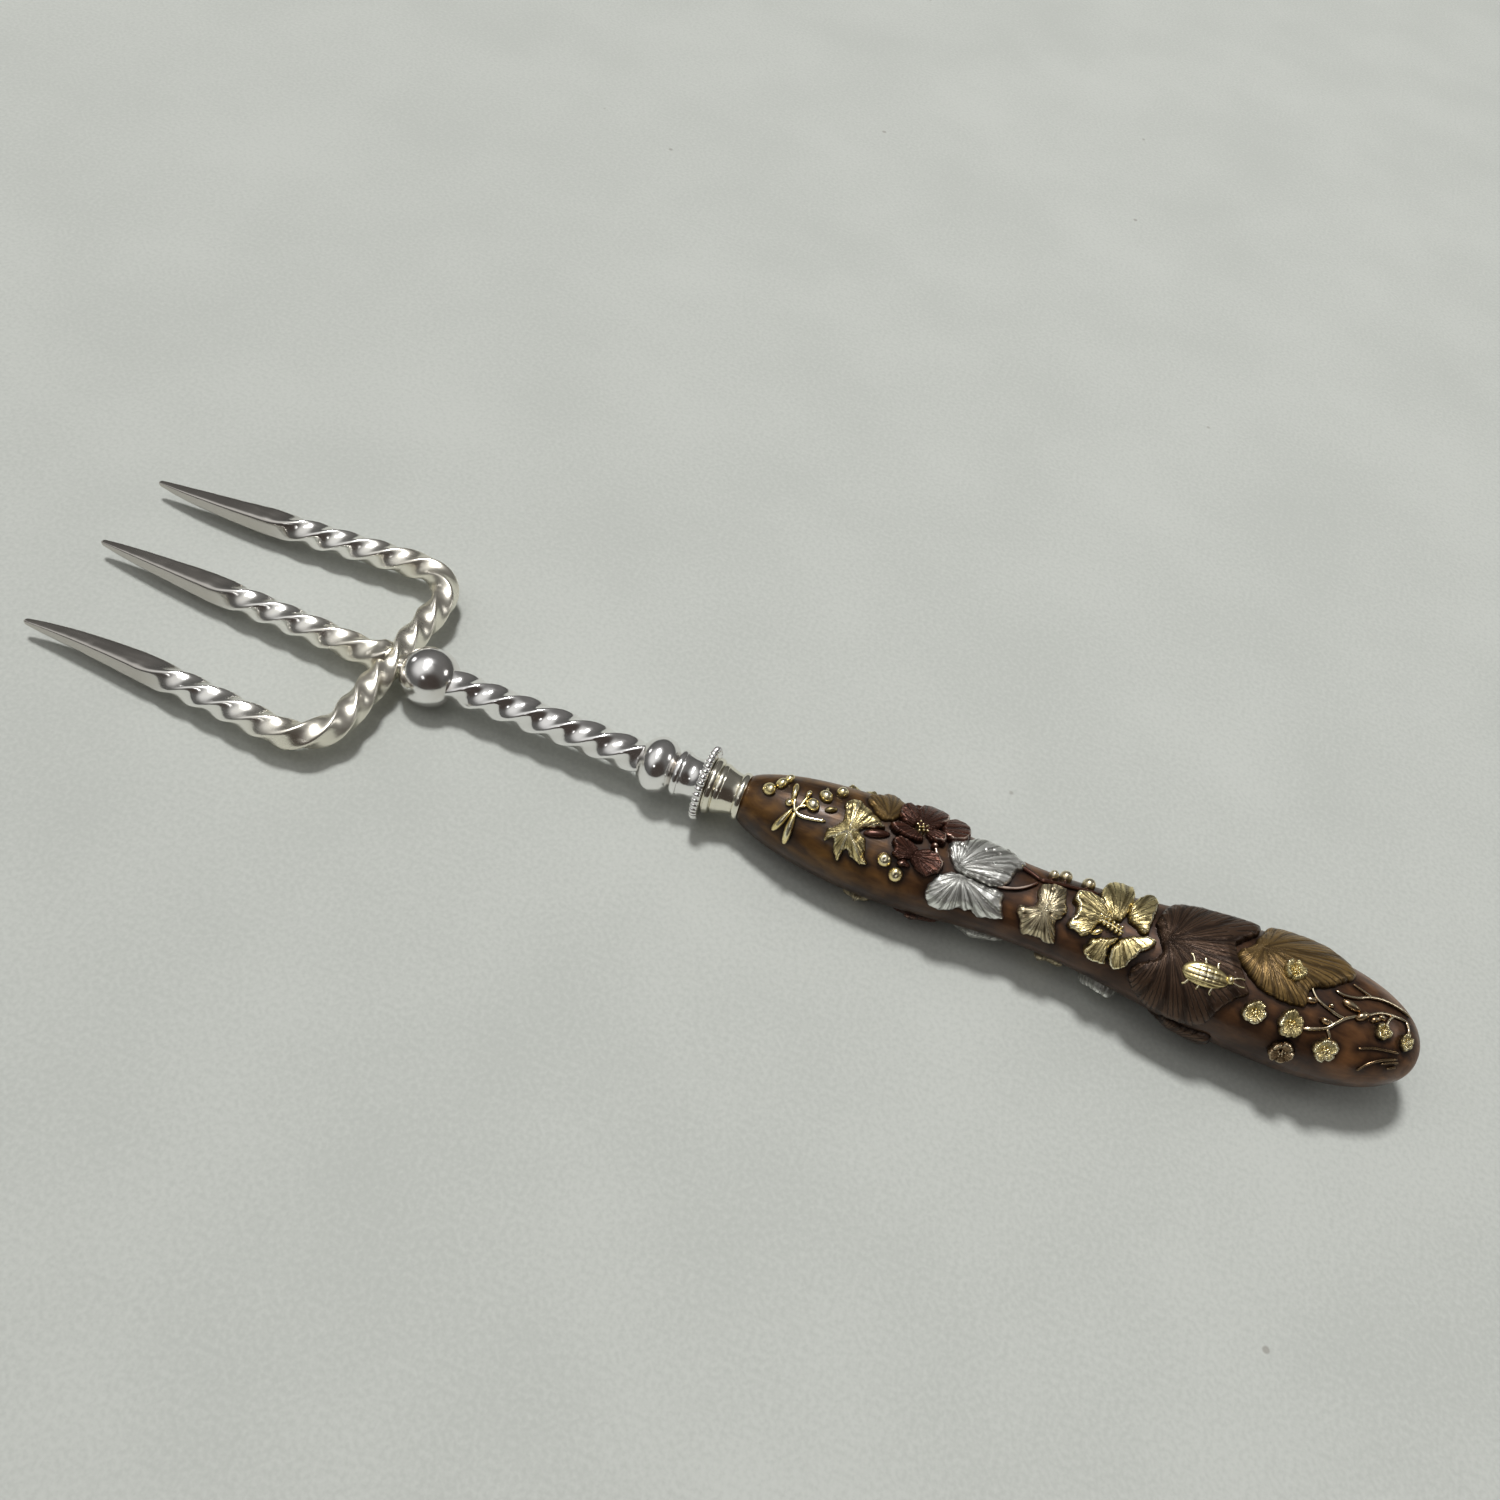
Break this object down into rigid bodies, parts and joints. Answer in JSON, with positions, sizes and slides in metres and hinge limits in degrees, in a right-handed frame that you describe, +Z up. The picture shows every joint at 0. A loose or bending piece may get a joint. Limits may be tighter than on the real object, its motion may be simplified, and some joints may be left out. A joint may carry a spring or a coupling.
{
  "type": "serving fork",
  "caption": "Serving fork with a twisted silver tine head, turned bolster and a hollow bronze handle covered in soldered leaves and blossoms of mixed metals.",
  "frame": {"origin": "under the middle of the fork's box, on the surface that it lies on", "axes": "+X along the fork from the tines to the handle's butt, +Y sideways, +Z up as it lies on a table"},
  "size_m": [0.2111, 0.0432, 0.0189],
  "materials": {
    "silver": "polished silver with light tarnish in the hollows",
    "gilt_silver": "polished silver with a worn gilt tone",
    "tang_brass": "plain drawn rod",
    "handle_bronze": "brown patinated bronze",
    "leaf_bronze": "dark patinated bronze, engraved",
    "copper": "reddish copper with rubbed edges",
    "gold": "yellow gold, chased",
    "pale_gold": "pale gold, chased",
    "cement": "set filling cement"
  },
  "bodies": {
    "root": {"outer_tines": "silver", "centre_tine": "silver", "yoke_neck": "silver", "lower_knop": "silver", "shank": "silver", "upper_knop": "silver", "reel": "silver", "beaded_collar": "silver", "ferrule": "gilt_silver", "tang": "tang_brass", "handle_upper_shell": "handle_bronze", "handle_lower_shell": "handle_bronze", "handle_filling": "cement", "seed_bud_front": "gold", "seed_bud_back": "gold", "bud_sprig": "gold", "sprig_berry": "gold", "sprig_bud_far": "gold", "gold_ivy_leaf": "gold", "brown_leaf_far": "leaf_bronze", "dark_leaf_small": "copper", "copper_blossom_upper": "copper", "copper_blossom_lower": "copper", "gold_berry_1": "gold", "gold_berry_2": "gold", "silver_leaf_upper": "silver", "silver_leaf_lower": "silver", "copper_tendril": "copper", "berry_stem": "copper", "stem_berry_1": "pale_gold", "stem_berry_2": "pale_gold", "stem_berry_3": "pale_gold", "pale_ivy_leaf": "pale_gold", "gold_blossom": "gold", "bronze_leaf_front": "leaf_bronze", "bronze_leaf_back": "leaf_bronze", "gold_beetle": "gold", "leaf_blossom": "gold", "plum_blossom_1": "gold", "plum_blossom_2": "gold", "plum_blossom_3": "gold", "plum_blossom_4": "gold", "tip_blossom_1": "gold", "tip_blossom_2": "gold", "blossom_twig": "pale_gold", "upper_twig": "pale_gold", "reed_blade_1": "pale_gold", "reed_blade_2": "pale_gold", "back_gold_leaf": "gold", "back_copper_blossom": "copper", "back_silver_leaf": "silver", "under_gilt_leaf": "pale_gold", "under_copper_leaf": "copper", "under_silver_leaf": "silver", "under_pale_leaf": "pale_gold", "under_silver_blossom": "silver", "back_bronze_leaf": "leaf_bronze", "under_bronze_leaf": "leaf_bronze", "back_plum_blossom": "gold", "rest_leaf": "leaf_bronze"}
  },
  "joints": []
}
